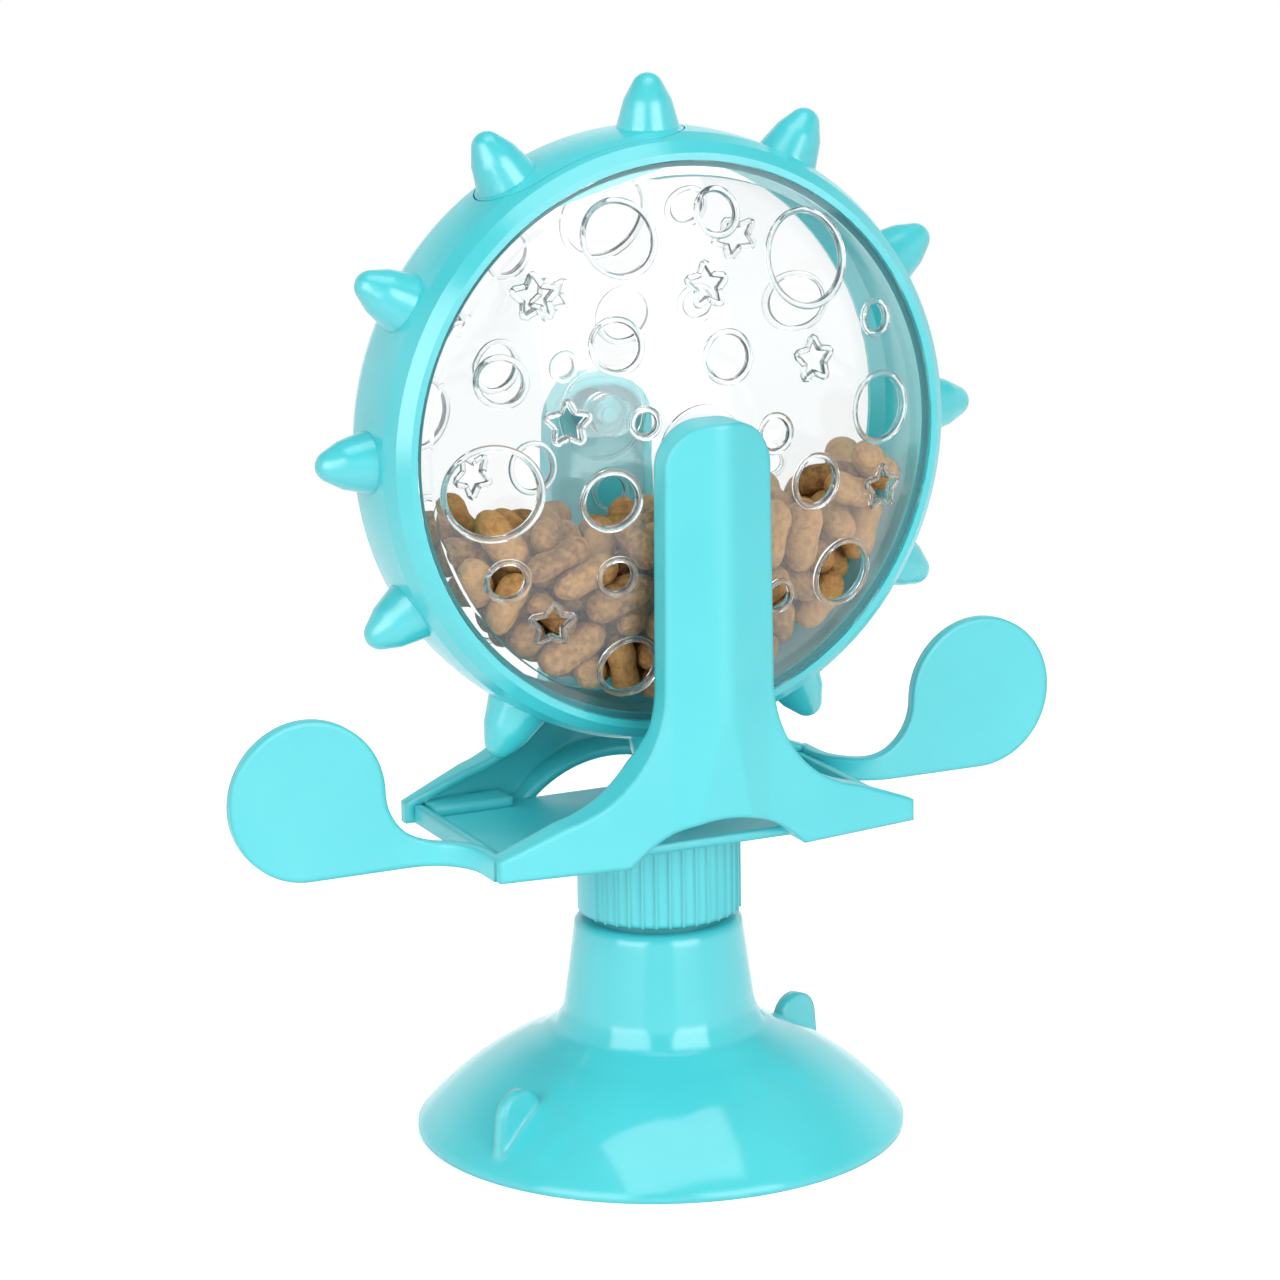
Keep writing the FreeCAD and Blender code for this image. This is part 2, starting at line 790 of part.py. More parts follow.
def paddle_front_outline():
    """Disc and neck of a paddle, seen from the front, both level at the bottom."""
    low = tray_bottom
    radius = s.paddle_radius
    middle = low + radius
    plate_top = low + s.end_plate_height
    neck_radius = radius - s.end_plate_height
    neck_x = s.paddle_distance - radius
    slant = math.sqrt(0.5)
    return [
        (-s.paddle_distance, low),
        (-s.paddle_distance, middle + radius, -s.paddle_distance - radius, middle),
        (-neck_x, middle, -s.paddle_distance + radius * slant, middle + radius * slant),
        (-neck_x + neck_radius, plate_top,
         -neck_x + neck_radius - neck_radius * slant, middle - neck_radius * slant),
        (-s.tray_half_length + 1, plate_top),
        (-s.tray_half_length + 1, low),
    ]


def make_arm(label):
    """Upright, flared foot, end plate and paddle in one hollow moulding, open towards the drum."""
    up = Vector(1, 0, 0)
    depth = s.ridge_depth * 2
    front = free_sketch(f"{label}_front", arm_front_outline(), up, 90)
    inset = doc.addObject("Part::Offset2D", f"{label}_inset")
    inset.Source = front
    inset.Join = 1
    bind(inset, "Value", -s.arm_wall)
    plan = free_sketch(f"{label}_plan", arm_plan_outline())
    side = doc.addObject("Sketcher::SketchObject", f"{label}_side")
    side.Placement = Placement(Vector(0, 0, 0), Rotation(0.5, 0.5, 0.5, 0.5))
    draw_outline(side, arm_side_outline())
    toward = Vector(0, -1, 0)
    front_solid = extrude(f"{label}_front_solid", front, toward, 0, depth)
    inset_solid = extrude(f"{label}_inset_solid", inset, toward, 0, depth)
    plan_solid = extrude(f"{label}_plan_solid", plan, Vector(0, 0, 1), tray_bottom - 2,
                         upright_top - tray_bottom + 4)
    side_solid = extrude(f"{label}_side_solid", side, Vector(1, 0, 0), -s.tip_half_width - 2,
                         s.tip_half_width * 2 + 4)
    outer = combine("MultiCommon", f"{label}_outer", [front_solid, plan_solid, side_solid])
    face = combine("MultiCommon", f"{label}_face", [plan_solid, side_solid])
    bind(face, "Placement.Base.y", s.arm_wall)
    hollow = combine("MultiCommon", f"{label}_hollow", [inset_solid, face])
    shell = cut(f"{label}_shell", outer, hollow)
    boss = cylinder(f"{label}_boss", s.boss_radius, s.ridge_depth - s.arm_wall + 0.5 - s.boss_face,
                    y=s.arm_wall - 0.5 - s.ridge_depth, z=axle_height, along="y")
    stub = cylinder(f"{label}_stub", s.stub_radius, s.boss_face + 1 - s.stub_end,
                    y=-s.boss_face - 1, z=axle_height, along="y")
    strip = free_sketch(f"{label}_strip", paddle_plan_outline())
    outline = free_sketch(f"{label}_paddle", paddle_front_outline(), up, 90)
    strip_solid = extrude(f"{label}_strip_solid", strip, Vector(0, 0, 1), tray_bottom - 1,
                          s.paddle_radius * 2 + 2)
    outline_solid = extrude(f"{label}_paddle_solid", outline, toward, 0, s.tip_half_width)
    paddle = combine("MultiCommon", f"{label}_blade", [strip_solid, outline_solid])
    lugs = [make_lug(f"{label}_lug_{name}", sign) for name, sign in (("left", -1), ("right", 1))]
    arm = combine("MultiFuse", label, [shell, boss, stub, paddle] + lugs)
    arm.Label = label
    return arm


def make_lug(name, sign):
    """Low ledge inside the arm's foot that reaches over the tray floor and takes a screw from below."""
    block = doc.addObject("Part::Box", f"{name}_block")
    depth = s.free_corner_depth - s.tray_half_width + s.lug_reach
    bind(block, "Length", s.lug_half_width * 2)
    bind(block, "Width", depth)
    bind(block, "Height", s.lug_height)
    place(block, s.arm_screw_reach * sign - s.lug_half_width,
          s.lug_reach - s.tray_half_width - depth, tray_top)
    pilot = cylinder(f"{name}_pilot", s.arm_screw_radius + s.seat_gap / 2,
                     s.arm_screw_length - s.tray_thickness + s.seat_gap + 1,
                     x=s.arm_screw_reach * sign, y=s.arm_screw_inset - s.tray_half_width,
                     z=tray_top - 1)
    return cut(name, block, pilot)


def make_arm_screws():
    """Four screws through the tray floor into the arms' lugs."""
    screws = []
    for number, (x, y) in enumerate(arm_screw_places(), start=1):
        head = cylinder(f"arm_screw_head_{number}", s.arm_head_radius, s.arm_head_height,
                        x, y, tray_bottom - s.arm_head_height)
        shank = cylinder(f"arm_screw_shank_{number}", s.arm_screw_radius,
                         s.arm_screw_length + s.seat_gap, x, y, tray_bottom - s.seat_gap)
        screws.append(combine("MultiFuse", f"arm_screw_{number}", [head, shank]))
    group = doc.addObject("Part::Compound", "arm_screws")
    group.Links = screws
    group.Label = "arm_screws"
    return group


def make_swivel_washer():
    inner = s.swivel_screw_radius + s.seat_gap
    return turned_body("swivel_washer", [
        (inner, swivel_top),
        (s.swivel_washer_radius, swivel_top),
        (s.swivel_washer_radius, swivel_washer_top),
        (inner, swivel_washer_top),
    ])


def make_swivel_screw():
    """Pan-head screw that keeps the washer, and with it the tray, on the spigot."""
    head_top = swivel_washer_top + s.swivel_head_height
    return turned_body("swivel_screw", [
        (0, swivel_washer_top - s.swivel_screw_length),
        (s.swivel_screw_radius, swivel_washer_top - s.swivel_screw_length),
        (s.swivel_screw_radius, swivel_washer_top),
        (s.swivel_head_radius, swivel_washer_top),
        (s.swivel_head_radius, head_top - s.swivel_head_edge),
        (s.swivel_head_radius - s.swivel_head_edge, head_top),
        (0, head_top),
    ])


# Drum


def drum_body(label, turn):
    """A body centred on the drum's axle, turned about it."""
    body = new_body(label)
    body.Placement = Placement(Vector(0, 0, 0), Rotation(Vector(0, 1, 0), turn.value))
    bind(body, "Placement.Rotation.Angle", turn)
    bind(body, "Placement.Base.z", axle_height)
    return body


def spike_outline():
    """Spike with a round nose: distance from the drum's axis and half width."""
    centre = spike_tip_radius - s.spike_nose
    side = s.spike_nose_angle
    middle = (s.spike_nose_angle + 90) / 2
    root_radius = s.window_radius + s.spike_root_rise
    return [
        (root_radius, 0),
        (spike_tip_radius, 0),
        (centre + s.spike_nose * sine(side), s.spike_nose * cosine(side),
         centre + s.spike_nose * sine(middle), s.spike_nose * cosine(middle)),
        (s.window_radius + s.spike_belly_rise, s.spike_belly_width),
        (s.window_radius + s.spike_foot_rise, s.spike_foot_width),
        (root_radius, s.spike_foot_width),
    ]


def add_spikes(body, first_angle, count):
    sketch = body_sketch(body, "spike_outline", "XZ_Plane", turn=first_angle)
    draw_outline(sketch, spike_outline())
    spike = add_turned(body, sketch, "spike", "H_Axis")
    return add_polar(body, [spike], "spikes", "Y_Axis", count, s.spike_step * (count - 1))


band_edge = root(crown_radius * crown_radius - s.band_half_width * s.band_half_width)
lid_turn = 90 - s.lid_angle
first_rim_spike = 90 - s.spike_step * 1.5


def make_drum_rim():
    """Crowned band with lips that hold the windows, ten spikes and the filling opening."""
    rim = drum_body("drum_rim", lid_turn)
    band = body_sketch(rim, "band_outline", "YZ_Plane")
    ledge_back = s.window_seat - s.ledge_thickness
    wall_edge = ledge_back - s.ledge_slope
    lip_outer = s.window_radius + s.lip_outer_rise
    rim_inner = s.window_radius + s.rim_inner_rise
    ledge_radius = s.window_radius - s.ledge_inset
    draw_outline(band, [
        (s.lip_half_width, lip_radius),
        (s.lip_half_width, lip_outer),
        (s.shoulder_half_width, shoulder_radius),
        (s.band_half_width, band_edge),
        (-s.band_half_width, band_edge, 0, crown_radius),
        (-s.shoulder_half_width, shoulder_radius),
        (-s.lip_half_width, lip_outer),
        (-s.lip_half_width, lip_radius),
        (-s.window_seat, lip_radius),
        (-s.window_seat, ledge_radius),
        (-ledge_back, ledge_radius),
        (-wall_edge, rim_inner),
        (wall_edge, rim_inner),
        (ledge_back, ledge_radius),
        (s.window_seat, ledge_radius),
        (s.window_seat, lip_radius),
    ])
    add_turned(rim, band, "band", "H_Axis")
    add_spikes(rim, first_rim_spike, round(360 / s.spike_step.value) - 2)
    opening = body_sketch(rim, "opening_outline", "XY_Plane")
    draw_outline(opening, stadium(s.lid_half_length, s.lid_half_width))
    add_pocket(rim, opening, "opening", midplane=False, reverse=True)
    return rim


def make_filling_lid():
    """Plug for the filling opening, crowned like the band and carrying two spikes."""
    lid = drum_body("filling_lid", lid_turn)
    half_length = s.lid_half_length - s.lid_gap
    half_width = s.lid_half_width - s.lid_gap
    outline = body_sketch(lid, "lid_outline", "XY_Plane", lift=lid_skirt_bottom)
    draw_outline(outline, stadium(half_length, half_width))
    add_pad(lid, outline, "block", spike_tip_radius - lid_skirt_bottom)
    above = body_sketch(lid, "crown_outline", "YZ_Plane")
    far = spike_tip_radius * 1.2
    draw_outline(above, [
        (s.shoulder_half_width, shoulder_radius),
        (s.shoulder_half_width, far),
        (-s.shoulder_half_width, far),
        (-s.shoulder_half_width, shoulder_radius),
        (-s.band_half_width, band_edge),
        (s.band_half_width, band_edge, 0, crown_radius),
    ])
    add_turned(lid, above, "crown", "H_Axis", kind="Groove")
    hollow = body_sketch(lid, "hollow_outline", "YZ_Plane")
    hollow_half = half_width - s.lid_wall
    draw_outline(hollow, rectangle(
        -hollow_half, hollow_half, lid_skirt_bottom * 0.8, crown_radius - s.lid_plate))
    add_turned(lid, hollow, "hollow", "H_Axis", kind="Groove", angle=s.lid_hollow_angle, midplane=True)
    add_spikes(lid, 90 - s.spike_step / 2, 2)
    lid_spikes = lid.Tip
    lid_spikes.Reversed = True
    return lid


# A window's dome is a part of a sphere through its apex and its edge. Its middle lies beyond the drum.
window_flange_face = s.window_seat + s.window_flange
dome_rise = s.dome_apex - window_flange_face
dome_sphere = (dome_edge_radius * dome_edge_radius + dome_rise * dome_rise) / (dome_rise * 2)
dome_setback = dome_sphere - s.dome_apex


def dome_ball(name, radius, side=1):
    """A sphere about the middle of the front dome, or of the rear one with side -1."""
    ball = doc.addObject("Part::Sphere", name)
    bind(ball, "Radius", radius)
    place(ball, y=dome_setback * side)
    return ball


def make_window(label, face_turn):
    """Clear domed window with treat holes, a hub ring and the axle bearing."""
    edge = dome_edge_radius + 1
    disc = cylinder(f"{label}_disc", edge, s.dome_apex + 1 - s.window_seat,
                    y=-s.dome_apex - 1, along="y")
    flange = cylinder(f"{label}_flange", s.window_radius, s.window_flange,
                      y=-window_flange_face, along="y")
    dome = combine("MultiCommon", f"{label}_dome", [disc, dome_ball(f"{label}_outside", dome_sphere)])
    solid = combine("MultiFuse", f"{label}_solid", [dome, flange])
    shell = cut(f"{label}_shell", solid, dome_ball(f"{label}_inside", dome_sphere - s.dome_wall))
    ring_outside = cylinder(f"{label}_ring_outside", s.hub_ring_radius + s.hub_ring_half_width,
                            s.hub_ring_root, y=-s.hub_ring_top, along="y")
    ring_inside = cylinder(f"{label}_ring_inside", s.hub_ring_radius - s.hub_ring_half_width,
                           s.hub_ring_root, y=-s.hub_ring_top, along="y")
    ring = cut(f"{label}_ring", ring_outside, ring_inside)
    boss = cylinder(f"{label}_boss", s.hub_boss_radius, s.hub_boss_face - s.hub_boss_end,
                    y=-s.hub_boss_face, along="y")
    bore = cylinder(f"{label}_bore", s.stub_radius + s.bearing_gap,
                    s.hub_boss_face + 1 - s.hub_boss_end - s.hub_boss_floor,
                    y=-s.hub_boss_face - 1, along="y")
    blank = combine("MultiFuse", f"{label}_blank", [shell, ring, boss])
    bored = cut(f"{label}_bored", blank, bore)
    holes = doc.addObject("Sketcher::SketchObject", f"{label}_holes")
    holes.Placement = Placement(Vector(0, 0, 0), Rotation(Vector(1, 0, 0), 90))
    for x, z, radius in TREAT_HOLES:
        draw_circle(holes, x, z, radius)
    for x, z in STAR_HOLES:
        draw_outline(holes, star(x, z))
    punch = extrude(f"{label}_punch", holes, Vector(0, -1, 0), 1, s.dome_apex)
    window = cut(label, bored, punch)
    window.Label = label
    if label == "front_window":
        window.Placement = Placement(Vector(0, 0, 0), Rotation(Vector(0, 1, 0), face_turn.value))
        bind(window, "Placement.Rotation.Angle", face_turn)
    else:
        half_turn = Rotation(Vector(0, 0, 1), 180)
        window.Placement = Placement(
            Vector(0, 0, 0), half_turn.multiply(Rotation(Vector(0, 1, 0), face_turn.value)))
    bind(window, "Placement.Base.z", axle_height)
    return window


def star(x, z):
    """A plain five-pointed star around a centre."""
    corners = []
    for number in range(STAR_POINTS * 2):
        reach = s.star_waist if number % 2 else s.star_radius
        angle = math.radians(90 + 180 * number / STAR_POINTS)
        corners.append((x + reach * round(math.cos(angle), 6), z + reach * round(math.sin(angle), 6)))
    return corners


def make_treat_fill():
    """The heap of treats that lies in the drum, clear of everything that turns round it."""
    reach = lid_skirt_bottom - s.treat_gap
    ball = dome_sphere - s.dome_wall - s.treat_gap
    drum = cylinder("heap_drum", reach, s.dome_apex * 2, y=-s.dome_apex, along="y")
    front = dome_ball("heap_front", ball)
    rear = dome_ball("heap_rear", ball, side=-1)
    side = s.window_radius
    crown = -(s.hub_boss_radius + s.treat_gap * 2)
    below = free_sketch("heap_outline", [
        (-side, -side),
        (side, -side),
        (side, s.treat_level_right),
        (-side, s.treat_level_left, 0, crown),
    ], Vector(1, 0, 0), 90)
    slab = extrude("heap_slab", below, Vector(0, -1, 0), -s.dome_apex, s.dome_apex * 2)
    heap = combine("MultiCommon", "treat_fill", [drum, front, rear, slab])
    heap.Label = "treat_fill"
    bind(heap, "Placement.Base.z", axle_height)
    return heap


def make_all():
    parts = [
        make_suction_cup(),
        make_neck_core(),
        make_cup_plunger(),
        make_lift_pin(),
        make_ring_washer(),
        make_lock_ring(),
        make_tray(),
        make_arm("front_arm"),
    ]
    rear = make_arm("rear_arm")
    rear.Placement = Placement(Vector(0, 0, 0), Rotation(Vector(0, 0, 1), 180))
    parts += [
        rear,
        make_arm_screws(),
        make_swivel_washer(),
        make_swivel_screw(),
        make_drum_rim(),
        make_filling_lid(),
        make_window("front_window", as_size(0)),
        make_window("rear_window", s.rear_window_turn),
        make_treat_fill(),
    ]
    return parts


def check_document():
    """Stops if any object failed to build."""
    failed = [item.Label for item in doc.Objects if "Invalid" in item.State or "Error" in item.State]
    if failed:
        raise RuntimeError(f"these objects failed: {failed}")


parts = make_all()
doc.recompute()
check_document()
for part in parts:
    if part.Shape.isNull() or not part.Shape.isValid():
        raise RuntimeError(f"{part.Label} has no valid shape")

os.makedirs("parts", exist_ok=True)
for part in parts:
    part.Shape.exportStep(f"parts/{part.Label}.step")
    print(part.Label, len(part.Shape.Solids), round(part.Shape.Volume, 1))
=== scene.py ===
import math

import bmesh
import bpy
import numpy as np
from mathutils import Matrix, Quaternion, Vector


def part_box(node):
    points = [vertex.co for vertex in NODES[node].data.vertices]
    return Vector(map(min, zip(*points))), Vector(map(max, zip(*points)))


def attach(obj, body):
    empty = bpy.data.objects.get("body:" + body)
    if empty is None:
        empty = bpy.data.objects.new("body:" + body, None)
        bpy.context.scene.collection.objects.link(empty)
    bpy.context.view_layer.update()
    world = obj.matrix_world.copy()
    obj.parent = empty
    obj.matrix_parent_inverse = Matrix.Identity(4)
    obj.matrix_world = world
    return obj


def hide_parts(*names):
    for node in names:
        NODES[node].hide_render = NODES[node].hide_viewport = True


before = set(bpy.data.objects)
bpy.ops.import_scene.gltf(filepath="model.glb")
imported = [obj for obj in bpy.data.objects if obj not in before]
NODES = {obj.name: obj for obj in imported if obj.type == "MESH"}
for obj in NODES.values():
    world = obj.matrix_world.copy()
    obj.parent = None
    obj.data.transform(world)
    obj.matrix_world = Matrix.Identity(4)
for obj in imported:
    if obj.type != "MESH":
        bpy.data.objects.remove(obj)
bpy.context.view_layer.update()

# Rotating treat toy: turquoise moulded plastic, clear holed windows, a heap of kibble in the drum.
# Metres and degrees, +Z up, the drum's axle along Y.

MM = 0.001

# Places read from the frame
WINDOW_LOW, WINDOW_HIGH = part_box("front_window")
AXLE_HEIGHT = (WINDOW_LOW.z + WINDOW_HIGH.z) / 2
FILL_LOW, FILL_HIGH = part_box("treat_fill")
FILL_RADIUS = AXLE_HEIGHT - FILL_LOW.z
FILL_HALF_DEPTH = (FILL_HIGH.y - FILL_LOW.y) / 2

# Sphere that each window's dome is a part of
DOME_RADIUS = 148.0 * MM

# Camera that took the photograph
PHOTO_SIZE = 1280
CAMERA_AZIMUTH = -25.24
CAMERA_ELEVATION = 13.87
CAMERA_DISTANCE = 1.06297
CAMERA_TARGET = Vector((0.0, 0.0, 0.11548))
CAMERA_ROLL = -0.76
FOCAL_PIXELS = 4598.2
CENTRE_SHIFT_PIXELS = (14.72, 5.02)
SENSOR_WIDTH = 36.0

# Floor and background
WHITE = (1.0, 1.0, 1.0, 1.0)
FLOOR_SIZE = 14.0
FLOOR_GREY = (0.86, 0.87, 0.88, 1.0)
FLOOR_GLOW = 0.35
FLOOR_FADE = (0.30, 0.75)
SKY_TINT = (0.95, 0.98, 1.0, 1.0)
SKY_LEVEL = 0.42
CEILING_LEVEL = 0.25
CEILING_RISE = (0.2, 0.65)

# Colours, linear
TURQUOISE = (0.058, 0.615, 0.670, 1.0)
TURQUOISE_LIGHT = (0.074, 0.655, 0.705, 1.0)
CUP_TURQUOISE = (0.070, 0.605, 0.655, 1.0)
CUP_LIGHT = (0.088, 0.645, 0.690, 1.0)
CORE_DARK = (0.020, 0.300, 0.330, 1.0)
CORE_LIGHT = (0.030, 0.340, 0.370, 1.0)
STEEL = (0.58, 0.58, 0.57, 1.0)
CLEAR = (0.97, 0.985, 0.985, 1.0)
CLEAR_SHADOW = (0.93, 0.95, 0.95, 1.0)
HAZE = (0.86, 0.88, 0.89, 1.0)
KIBBLE_DARK = (0.170, 0.070, 0.018, 1.0)
KIBBLE_LIGHT = (0.520, 0.275, 0.092, 1.0)

# Range that nearly all values of a soft noise lie in
NOISE_MIDDLE = (0.3, 0.7)

# Finish of the opaque mouldings; only the drum's spikes reach beyond SPIKE_START from the axle
CLOUD_SCALE = 35.0
WEAR_SCALE = 90.0
WEAR_SPREAD = 0.15
EDGE_SAMPLES = 10
SPIKE_START = 71.0 * MM
SPIKE_FADE = 1.0 * MM

# Finish of the treats
CRUMB_SCALE = 620.0
CRUMB_RANGE = (0.4, 0.62)
PATCH_SCALE = 230.0
PIECE_SHARE = 0.75
PIECE_SHIFT = -0.25
PATCH_SHARE = 0.5
CRUMB_SHARE = 0.6

# Heap of treats
TREAT_COUNT = 118
TREAT_SEED = 11
LOBE_RADIUS = (3.9 * MM, 4.8 * MM)
LOBE_SPACING = (5.4 * MM, 8.8 * MM)
HEAP_TILT = 6
START_REACH = 0.87
START_SIDEWAYS = 0.55
SINK_STEPS = 260
SINK_START = 0.5 * MM
PUSH_ROUNDS = 8
NEAR = 2.0 * MM

# Added to lengths that something is divided by, so that none is zero
GAP_GUARD = 1e-9
AXIS_GUARD = 1e-12

# Mesh and shape of one treat, the shape as shares of its length or width
TREAT_RINGS = 15
TREAT_SECTORS = 20
WAIST = (0.08, 0.24)
WAIST_REACH = 0.34
UNEVEN = 0.09
BEND = 0.09
BEND_MIDDLE = 0.4
FLATNESS = (0.86, 1.0)
END_POWER = 2.9
LUMPS = (0.045, 0.03, 0.03)

# Raised walls of the treat holes
WALL_HALF_THICKNESS = 0.75 * MM
WALL_HALF_DEPTH = 1.15 * MM
WALL_SINK = 0.75 * MM
WALL_OFFSET = 0.8
WALL_SIDES = 12

# What tells a treat hole's edge: how far a face looks along Y, and where and how long the loop is
DOME_TILT = 0.85
HOLE_TILT = 0.3
AXLE_CLEAR = 5.0 * MM
SHORTEST_LOOP = 6

# Distances within which doubled points are merged
WINDOW_WELD = 0.01 * MM
PIECE_WELD = 0.002 * MM


# Nodes


def feed(tree, socket, value):
    """Links a socket to an output, or sets it to a number, vector or colour."""
    if isinstance(value, bpy.types.NodeSocket):
        tree.links.new(value, socket)
    else:
        socket.default_value = value


def add_node(tree, kind, **inputs):
    """A node fed by the names of its sockets, an underscore standing for a space."""
    node = tree.nodes.new(kind)
    for name, value in inputs.items():
        feed(tree, node.inputs[name.replace("_", " ")], value)
    return node


def add_in_turn(tree, kind, *values, **settings):
    """A node with its settings made and its sockets fed in turn."""
    node = tree.nodes.new(kind)
    for name, setting in settings.items():
        setattr(node, name, setting)
    for socket, value in zip(node.inputs, values):
        feed(tree, socket, value)
    return node


def output_of(tree, kind, name):
    """One output of a new node that takes no input."""
    return tree.nodes.new(kind).outputs[name]


def new_material(name):
    """An empty material and its node tree."""
    material = bpy.data.materials.new(name)
    material.use_nodes = True
    material.node_tree.nodes.clear()
    return material, material.node_tree


def object_noise(tree, **inputs):
    """Noise that is fixed to the piece."""
    place = output_of(tree, "ShaderNodeTexCoord", "Object")
    return add_node(tree, "ShaderNodeTexNoise", Vector=place, **inputs).outputs["Fac"]


def ranged(tree, value, source, target, curve="LINEAR"):
    """A value carried from one range to another."""
    node = add_node(tree, "ShaderNodeMapRange", Value=value, From_Min=source[0],
                    From_Max=source[1], To_Min=target[0], To_Max=target[1])
    node.interpolation_type = curve
    return node.outputs["Result"]


def soft_noise(tree, scale, target):
    """Soft noise, spread over the target range."""
    noise = object_noise(tree, Scale=scale, Detail=3.0)
    return ranged(tree, noise, NOISE_MIDDLE, target)


def between(tree, kind, amount, first, second):
    """A number, vector or colour between two others."""
    node = tree.nodes.new("ShaderNodeMix")
    node.data_type = kind
    for name, value in (("Factor", amount), ("A", first), ("B", second)):
        feed(tree, node.inputs[name], value)
    return node.outputs["Result"]


def mix_shaders(tree, amount, first, second):
    return add_in_turn(tree, "ShaderNodeMixShader", amount, first, second).outputs["Shader"]


def multiply_add(tree, value, factor, addend):
    node = add_in_turn(tree, "ShaderNodeMath", value, factor, addend, operation="MULTIPLY_ADD")
    return node.outputs["Value"]


def bumped(tree, height, strength, depth, **inputs):
    """A normal with small bumps."""
    node = add_node(tree, "ShaderNodeBump", Height=height, Strength=strength, Distance=depth,
                    **inputs)
    return node.outputs["Normal"]


# Materials


def distance_from_axle(tree):
    """How far a point of the piece lies from the drum's axle."""
    kind = "ShaderNodeVectorMath"
    place = output_of(tree, "ShaderNodeTexCoord", "Object")
    moved = add_in_turn(tree, kind, place, (0.0, 0.0, AXLE_HEIGHT), operation="SUBTRACT")
    flat = add_in_turn(
        tree, kind, moved.outputs["Vector"], (1.0, 0.0, 1.0), operation="MULTIPLY")
    length = add_in_turn(tree, kind, flat.outputs["Vector"], operation="LENGTH")
    return length.outputs["Value"]


def only_on_spikes(tree, normal):
    """The given normal on the drum's spikes, and the plain one on its band."""
    fade = (SPIKE_START, SPIKE_START + SPIKE_FADE)
    beyond = ranged(tree, distance_from_axle(tree), fade, (0.0, 1.0))
    plain = output_of(tree, "ShaderNodeNewGeometry", "Normal")
    return between(tree, "VECTOR", beyond, plain, normal)


def moulded_plastic(name, dark, light, roughness, shine, grain_scale, grain_depth, edge,
                    spikes_only=False):
    """Opaque moulded plastic: faint cloudiness, uneven gloss, a fine skin and softened edges."""
    material, tree = new_material(name)
    cloud = soft_noise(tree, CLOUD_SCALE, (0.0, 1.0))
    gloss_range = (roughness * (1 - WEAR_SPREAD), roughness * (1 + WEAR_SPREAD))
    bevel = add_node(tree, "ShaderNodeBevel", Radius=edge)
    bevel.samples = EDGE_SAMPLES
    normal = bevel.outputs["Normal"]
    if spikes_only:
        normal = only_on_spikes(tree, normal)
    skin = object_noise(tree, Scale=grain_scale, Detail=4.0)
    shader = add_node(
        tree, "ShaderNodeBsdfPrincipled",
        Base_Color=between(tree, "RGBA", cloud, dark, light),
        Roughness=soft_noise(tree, WEAR_SCALE, gloss_range),
        Normal=bumped(tree, skin, strength=0.25, depth=grain_depth, Normal=normal),
        IOR=1.6,
        Specular_IOR_Level=shine,
        Subsurface_Weight=0.12,
        Subsurface_Radius=(0.2, 1.0, 1.0),
        Subsurface_Scale=3.0 * MM,
    )
    add_node(tree, "ShaderNodeOutputMaterial", Surface=shader.outputs["BSDF"])
    return material


def clear_plastic(name):
    """Clear moulded polystyrene that lets shadow rays through, so that the treats stay lit."""
    material, tree = new_material(name)
    flow = object_noise(tree, Scale=45.0, Detail=1.0)
    glass = add_node(
        tree, "ShaderNodeBsdfPrincipled",
        Base_Color=CLEAR,
        Roughness=soft_noise(tree, scale=60.0, target=(0.01, 0.035)),
        Normal=bumped(tree, flow, strength=0.1, depth=0.4 * MM),
        IOR=1.49,
        Transmission_Weight=1.0,
    )
    haze = add_node(tree, "ShaderNodeBsdfDiffuse", Color=HAZE)
    hazed = mix_shaders(tree, 0.02, glass.outputs["BSDF"], haze.outputs["BSDF"])
    open_way = add_node(tree, "ShaderNodeBsdfTransparent", Color=CLEAR_SHADOW)
    shadow = output_of(tree, "ShaderNodeLightPath", "Is Shadow Ray")
    shown = mix_shaders(tree, shadow, hazed, open_way.outputs["BSDF"])
    add_node(tree, "ShaderNodeOutputMaterial", Surface=shown)
    return material


def screw_steel(name):
    """Plated steel with uneven gloss."""
    material, tree = new_material(name)
    gloss = soft_noise(tree, scale=400.0, target=(0.25, 0.42))
    shader = add_node(tree, "ShaderNodeBsdfPrincipled", Base_Color=STEEL, Roughness=gloss,
                      Metallic=1.0)
    add_node(tree, "ShaderNodeOutputMaterial", Surface=shader.outputs["BSDF"])
    return material


def kibble(name):
    """Baked treats: every piece its own brown, with darker patches and a crumbly skin."""
    material, tree = new_material(name)
    piece = output_of(tree, "ShaderNodeNewGeometry", "Random Per Island")
    crumb = object_noise(tree, Scale=CRUMB_SCALE, Detail=4.0, Roughness=0.6)
    patch = object_noise(tree, Scale=PATCH_SCALE, Detail=4.0)
    own = multiply_add(tree, piece, PIECE_SHARE, PIECE_SHIFT)
    patched = multiply_add(tree, patch, PATCH_SHARE, own)
    grain = ranged(tree, crumb, CRUMB_RANGE, (0.0, 1.0))
    speckled = multiply_add(tree, grain, CRUMB_SHARE, patched)
    shader = add_node(
        tree, "ShaderNodeBsdfPrincipled",
        Base_Color=between(tree, "RGBA", speckled, KIBBLE_DARK, KIBBLE_LIGHT),
        Roughness=ranged(tree, crumb, (0.0, 1.0), (0.5, 0.8)),
        Normal=bumped(tree, crumb, strength=1.0, depth=0.9 * MM),
        IOR=1.4,
        Subsurface_Weight=0.1,
        Subsurface_Radius=(1.0, 0.5, 0.25),
        Subsurface_Scale=2.0 * MM,
    )
    add_node(tree, "ShaderNodeOutputMaterial", Surface=shader.outputs["BSDF"])
    return material


